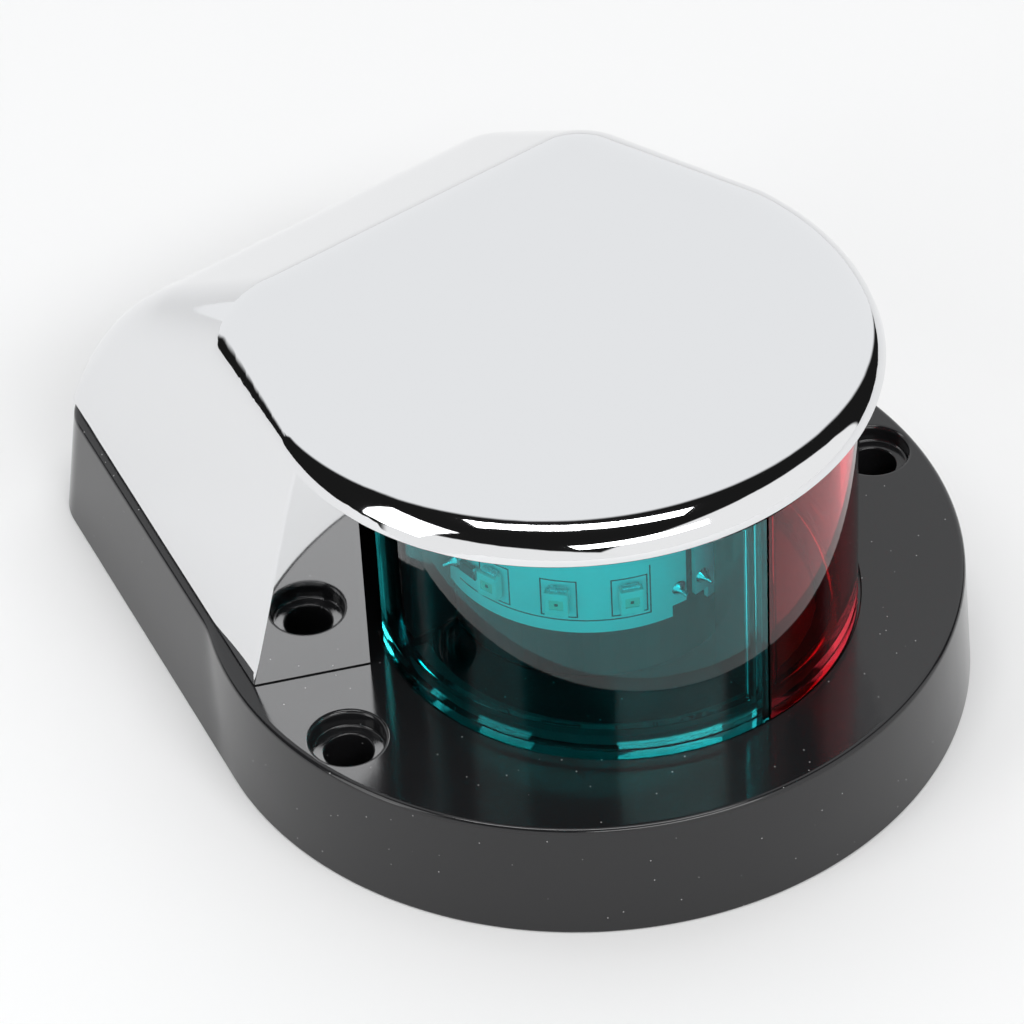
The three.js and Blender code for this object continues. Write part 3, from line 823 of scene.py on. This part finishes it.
def hood_shell(surface, foot):
    """The hood as a closed solid, with its foot, brim and front face edges rounded."""
    edge, rounds = 0.3, 4
    margins = [(edge * (1 - math.sin(t)), edge * (1 - math.cos(t))) for t in quarter_turn(rounds)]
    face_u = surface.face_u
    gap = math.asin(edge / 40)
    rear_us = surface.columns(-face_u + gap, face_u - gap, 300, (foot + 1, 30, RIM_Z))[1:-1]
    front_us = surface.columns(face_u, 2 * math.pi - face_u, 150, (RIM_Z + 1,))[1:-1]
    heights = list(np.linspace(foot + edge, RIM_Z + edge, 34))
    points, faces = [], []

    def add(point):
        points.append(point)
        return len(points) - 1

    # Sides and rear, below the brim
    grid = []
    for z in heights:
        row = [add(surface.behind_face(-1, z, edge))]
        row += [add(surface.side(u, z)) for u in rear_us]
        row.append(add(surface.behind_face(1, z, edge)))
        grid.append(row)
    for lower, upper in zip(grid, grid[1:]):
        for j in range(len(lower) - 1):
            faces.append((lower[j], lower[j + 1], upper[j + 1], upper[j]))

    # Top, from one loop round the whole hood to a point over the axis
    front = [add(surface.side(u, heights[-1])) for u in front_us]
    loop = grid[-1] + front
    loop_us = [-face_u + gap, *rear_us, face_u - gap, *front_us]
    rows = 44
    crowns = [[add(p) for p in surface.crown(u, points[i], rows)] for u, i in zip(loop_us, loop)]
    pole = add(surface.top(0, 0))
    for j in range(len(loop)):
        k = (j + 1) % len(loop)
        a, b = [loop[j], *crowns[j]], [loop[k], *crowns[k]]
        for i in range(len(a) - 1):
            faces.append((a[i], b[i], b[i + 1], a[i + 1]))
        faces.append((a[-1], b[-1], pole))

    # Rounded edges: each loop lies a smaller margin from the edge, and deeper
    def pushed(point, depth, keep):
        """The point moved inwards by depth, without leaving the planes whose normals are in keep."""
        inwards = -surface.normal(point)
        for normal in keep:
            inwards -= inwards.dot(normal) * normal
        return add(point + inwards.normalized() * depth)

    level = Vector((0, 0, 1))
    swept = {side: Vector((side * math.sin(FACE_ANGLE), -math.cos(FACE_ANGLE), 0)) for side in (-1, 1)}
    previous = None
    for margin, depth in margins:
        base, brim = foot + margin, RIM_Z + max(margin, 0.01)
        if previous is None:
            foot_loop = grid[0][1:-1]
            creases = {-1: [row[0] for row in grid], 1: [row[-1] for row in grid]}
            brim_loop = front
        else:
            foot_loop = [pushed(surface.side(u, base), depth, (level,)) for u in rear_us]
            brim_loop = [pushed(surface.side(u, brim), depth, (level,)) for u in front_us]
            creases = {}
            for side in (-1, 1):
                inwards = -direction(side * face_u)
                low_corner = surface.behind_face(side, base, margin) + inwards * depth
                high_corner = surface.behind_face(side, brim, margin) + inwards * depth
                middle = [pushed(surface.behind_face(side, z, margin), depth, (swept[side],))
                          for z in heights[1:-1]]
                creases[side] = [add(low_corner), *middle, add(high_corner)]
        whole = [*creases[-1][::-1], *foot_loop, *creases[1], *brim_loop]
        if previous is not None:
            for j in range(len(whole)):
                k = (j + 1) % len(whole)
                faces.append((previous[j], previous[k], whole[k], whole[j]))
        previous = whole

    # Flat faces: the foot, the two swept faces and the underside of the brim
    low_axis = add(Vector((0, surface.axis_y, foot)))
    high_axis = add(Vector((0, surface.axis_y, RIM_Z)))
    faces.append((low_axis, creases[-1][0], *foot_loop, creases[1][0]))
    faces.append((low_axis, high_axis, *creases[-1][::-1]))
    faces.append((high_axis, low_axis, *creases[1]))
    faces.append((high_axis, creases[1][-1], *brim_loop, creases[-1][-1]))
    return mesh_object("hood_shell", points, faces)


def hood_hollow(foot):
    """The hollow inside the hood, round its four screw bosses."""
    bm = convex(HoodForm(HOOD_WALL, 12).skin_points(3))
    cuts = [(Vector((0, 0, foot - 2)), Vector((0, 0, -1)))]
    for side in (-1, 1):
        normal = Vector((side * math.sin(FACE_ANGLE), -math.cos(FACE_ANGLE), 0))
        cuts.append((Vector((-side * FACE_X, FACE_Y, 0)) - normal * HOOD_WALL, normal))
    for place, normal in cuts:
        geom = [*bm.verts, *bm.edges, *bm.faces]
        bmesh.ops.bisect_plane(bm, geom=geom, plane_co=place, plane_no=normal, clear_outer=True)
        bmesh.ops.holes_fill(bm, edges=[e for e in bm.edges if e.is_boundary])
    bmesh.ops.scale(bm, vec=(MM, MM, MM), verts=bm.verts)
    bmesh.ops.recalc_face_normals(bm, faces=bm.faces)
    mesh = bpy.data.meshes.new("hollow")
    bm.to_mesh(mesh)
    bm.free()
    hollow = link("hollow", mesh)
    column = [(0, 0), (COVER_BOSS, 0), (COVER_BOSS, TOP_Z), (0, TOP_Z)]
    bosses = [turned("boss", column, x, y, 32) for x, y in COVER_SCREWS]
    return cut(hollow, *bosses)


def lens_pocket():
    clear, roof = LENS_RADIUS + FACE_GAP, RIM_Z - 0.02
    inner, top = LENS_RADIUS - 5, TOP_Z - HOOD_WALL
    return turned("pocket", [(0, 0), (clear, 0), (clear, roof), (inner, roof), (inner, top), (0, top)],
                  0, LENS_Y, 180)


def set_true_normals(obj, surface):
    """Gives the outer surface its true normals, so that reflections run smoothly over it."""
    mesh = obj.data
    true = [surface.skin.at(v.co / MM) for v in mesh.vertices]
    normals = [Vector(n.vector) for n in mesh.corner_normals]
    for polygon in mesh.polygons:
        for index in polygon.loop_indices:
            normal, distance = true[mesh.loops[index].vertex_index]
            if distance < 0.006 and normal.dot(polygon.normal) > 0.86:
                normals[index] = normal
    mesh.normals_split_custom_set(normals)


def off_swept_face(point, side):
    """How far a point is from the plane of a swept front face."""
    start = Vector((-side * FACE_X, FACE_Y, point.z))
    normal = Vector((side * math.sin(FACE_ANGLE), -math.cos(FACE_ANGLE), 0))
    return abs((point - start).dot(normal))


def make_hood():
    foot = low("chrome_hood").z
    surface = HoodSurface()
    shell = hood_shell(surface, foot)
    cut(shell, hood_hollow(foot), lens_pocket())
    top = foot + COVER_DEPTH
    pilot = [(0, 0), (COVER_PILOT, 0), (COVER_PILOT, top), (0, top)]
    cut(shell, *[turned("pilot", pilot, x, y, 24) for x, y in COVER_SCREWS])
    piece(shell, CHROME.material, "hood_chrome", "chrome_hood")
    shell.data.materials.append(HOOD_INSIDE.material)
    plated = 0.4  # faces nearer than this to the outer surface are chrome
    for polygon in shell.data.polygons:
        centre = polygon.center / MM
        on_face = min(off_swept_face(centre, side) for side in (-1, 1)) < plated
        under_brim = centre.z > RIM_Z - 0.1 and abs(polygon.normal.z) > 0.9 and centre.z < RIM_Z + 0.1
        outside = surface.skin.at(centre)[1] < plated
        polygon.material_index = 0 if outside or on_face or under_brim else 1
    set_true_normals(shell, surface)


make_hood()


# ---------------------------------------------------------------- lenses and divider

def rounded(points, radius, steps=3):
    """A closed profile with its corners rounded."""
    made = []
    count = len(points)
    for i in range(count):
        before, here, after = (Vector(points[(i + d) % count]) for d in (-1, 0, 1))
        start = here + (before - here).normalized() * radius
        end = here + (after - here).normalized() * radius
        for k in range(steps + 1):
            t = k / steps
            made.append(tuple((1 - t) ** 2 * start + 2 * t * (1 - t) * here + t ** 2 * end))
    return made


def sided_block(name, side, x0, x1, *rest, edge=0.0):
    ends = sorted((side * x0, side * x1))
    return block(name, *ends, *rest, edge=edge)


def make_lens(colour, side, finish):
    inner = LENS_RADIUS - LENS_WALL
    ledge = 19.4
    profile = rounded([
        (LENS_RADIUS, LENS_FOOT), (LENS_RADIUS, LENS_TOP), (inner, LENS_TOP),
        (inner, ledge), (inner - 1, ledge), (inner - 1, LENS_FOOT),
    ], 0.2)
    seam = math.degrees(math.asin(0.15 / LENS_RADIUS))
    span = (seam, LENS_END) if side < 0 else (-LENS_END, -seam)
    lens = sector(f"lens_{colour}_shell", LENS_Y, profile, *span, step=1.0)
    front = LENS_Y - LENS_RADIUS
    heights = (LENS_FOOT + 0.05, LENS_TOP - 0.05)
    fuse(lens, sided_block("flange", side, 0.7, 1.9, front + 0.9, front + 3, *heights, edge=0.2))
    cut(lens, sided_block("lap", side, -0.5, 0.7, front + LIP, front + 9, 0, TOP_Z))
    piece(lens, finish, f"lens_{colour}", f"lens_{colour}")


make_lens("green", -1, LENS_GREEN)
make_lens("red", 1, LENS_RED)


def make_divider():
    front = LENS_Y - LENS_RADIUS + LIP + GAP
    web = block("lens_divider_web", -DIVIDER_HALF, DIVIDER_HALF, front, DIVIDER_BACK,
                DIVIDER_FOOT, DIVIDER_TOP, edge=0.1)
    piece(web, DIVIDER.material, "divider_plastic", "lens_divider")


make_divider()


# ---------------------------------------------------------------- LED strips

def on_board(obj, degrees, lift, z):
    """Places a piece made about the origin, facing -Y, on the curved strip."""
    turn = Matrix.Rotation(-math.radians(degrees), 4, "Z")
    place = Matrix.Translation(Vector((0, BOARD_Y, 0)) * MM)
    out = Matrix.Translation(Vector((0, -(BOARD_RADIUS + lift), z)) * MM)
    obj.data.transform(place @ turn @ out)
    return obj


def make_board(colour, side):
    def span(start, end):
        return (start, end) if side < 0 else (-end, -start)

    inner = BOARD_RADIUS - BOARD_THICKNESS
    profile = rounded([(BOARD_RADIUS, BOARD_LOW), (BOARD_RADIUS, BOARD_HIGH), (inner, BOARD_HIGH),
                       (inner, BOARD_LOW)], 0.08, 2)
    board = sector(f"led_strip_{colour}", BOARD_Y, profile, *span(*BOARD_ENDS))
    below, above = BOARD_LOW - 1, BOARD_LOW + NOTCH_HEIGHT
    notch = [(inner - 1, below), (BOARD_RADIUS + 1, below), (BOARD_RADIUS + 1, above), (inner - 1, above)]
    cut(board, sector("notch", BOARD_Y, notch, *span(0, NOTCH_END)))
    piece(board, BOARD.material, "board_white", f"led_board_{colour}")

    line = 0.16
    marks = []

    def mark(start, end, z0, z1):
        radii = (BOARD_RADIUS - 0.02, BOARD_RADIUS + 0.03)
        outline = [(radii[0], z0), (radii[1], z0), (radii[1], z1), (radii[0], z1)]
        marks.append(sector("mark", BOARD_Y, outline, *span(start, end)))

    across = math.degrees(line / BOARD_RADIUS)
    half = math.degrees(2.2 / BOARD_RADIUS)
    foot, head = LED_Z - 3.0, LED_Z + 2.6
    for degrees in LED_ANGLES:
        mark(degrees - half, degrees + half, foot, foot + line)
        mark(degrees - half, degrees + half, head, head + line)
        mark(degrees - half, degrees - half + across, foot, head)
        mark(degrees + half - across, degrees + half, foot, head)
    mark(LED_ANGLES[0] - half - 1.2, 92, foot - 0.35 - line, foot - 0.35)
    mark(LED_ANGLES[0] - half - 1.2, LED_ANGLES[0] - half - 1.2 + across, foot - 0.35, head + 1.4)
    for other in marks[1:]:
        join(marks[0], other)
    marks[0].name = f"led_strip_marks_{colour}"
    piece(marks[0], MARK.material, "board_white")


def join(target, other):
    """Adds another object's mesh to target's."""
    bm = bmesh.new()
    bm.from_mesh(target.data)
    bm.from_mesh(other.data)
    bm.to_mesh(target.data)
    bm.free()
    bpy.data.objects.remove(other)
    return target


def make_led(colour, number, degrees):
    node = f"led_{colour}_{number}"
    body = block(f"{node}_body", -1.4, 1.4, -0.6, 0.6, -1.75, 1.75, edge=0.12)
    cut(body, block("window", -0.85, 0.85, -0.7, -0.25, -0.75, 0.75))
    window = block(f"{node}_window", -0.83, 0.83, -0.5, -0.24, -0.73, 0.73, edge=0.05)
    die = block(f"{node}_die", -0.2, 0.2, -0.56, -0.45, -0.2, 0.2, edge=0.03)
    tabs = block(f"{node}_terminals", -1.1, 1.1, -0.25, 0.62, 1.72, 2.05, edge=0.06)
    join(tabs, block("tab", -1.1, 1.1, -0.25, 0.62, -2.05, -1.72, edge=0.06))
    for obj, finish, nodes in ((body, LED_BODY, (node,)), (window, LED_WINDOW, ()), (die, LED_DIE, ()),
                               (tabs, TINNED, ())):
        on_board(obj, degrees, 0.8, LED_Z)
        piece(obj, finish.material, "solder" if finish is TINNED else "led_body", *nodes)


def make_resistor(colour, degrees):
    node = f"resistor_{colour}"
    body = block(f"{node}_body", -1.15, 1.15, -0.28, 0.3, -0.78, 0.78, edge=0.06)
    ends = block(f"{node}_ends", -1.6, -1.12, -0.3, 0.3, -0.8, 0.8, edge=0.08)
    join(ends, block("end", 1.12, 1.6, -0.3, 0.3, -0.8, 0.8, edge=0.08))
    for obj in (body, ends):
        on_board(obj, degrees, 0.5, LED_Z)
    piece(body, CERAMIC.material, "resistor_ceramic", node)
    piece(ends, TINNED.material, "solder")


def make_solder(colour, pole, degrees):
    node = f"solder_{colour}_{pole}"
    profile = [(0, 0), (1.0, 0), (0.95, 0.12), (0.62, 0.4), (0.42, 0.8), (0.3, 1.2), (0.27, 1.5),
               (0.2, 1.66), (0, 1.7)]
    cone = turned(f"{node}_joint", profile, count=40)
    cone.data.transform(Matrix.Rotation(math.pi / 2, 4, "X"))
    on_board(cone, degrees, 0.08, PAD_Z)
    piece(cone, TINNED.material, "solder", node, angle=50)


for colour, side in SIDES:
    make_board(colour, side)
    for number, degrees in enumerate(LED_ANGLES, 1):
        make_led(colour, number, -side * degrees)
    make_resistor(colour, -side * RESISTOR_ANGLE)
    for pole, degrees in PAD_ANGLES.items():
        make_solder(colour, pole, -side * degrees)


# ---------------------------------------------------------------- nodes kept from the frame

KEPT = {
    "led_carrier": CARRIER, "cable_grommet": RUBBER, "hood_seal": RUBBER, "lens_seal_lower": RUBBER,
    "lens_seal_upper": RUBBER, "crimp_cap_positive": NYLON, "crimp_cap_negative": NYLON,
}
for name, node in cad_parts.items():
    if node.hide_render:
        continue
    finish = KEPT.get(name)
    if "screw" in name:
        finish = STEEL
    elif "positive" in name and finish is None:
        finish = WIRE_RED
    elif "negative" in name and finish is None:
        finish = WIRE_BLACK
    node.data.materials.clear()
    node.data.materials.append(finish.material)
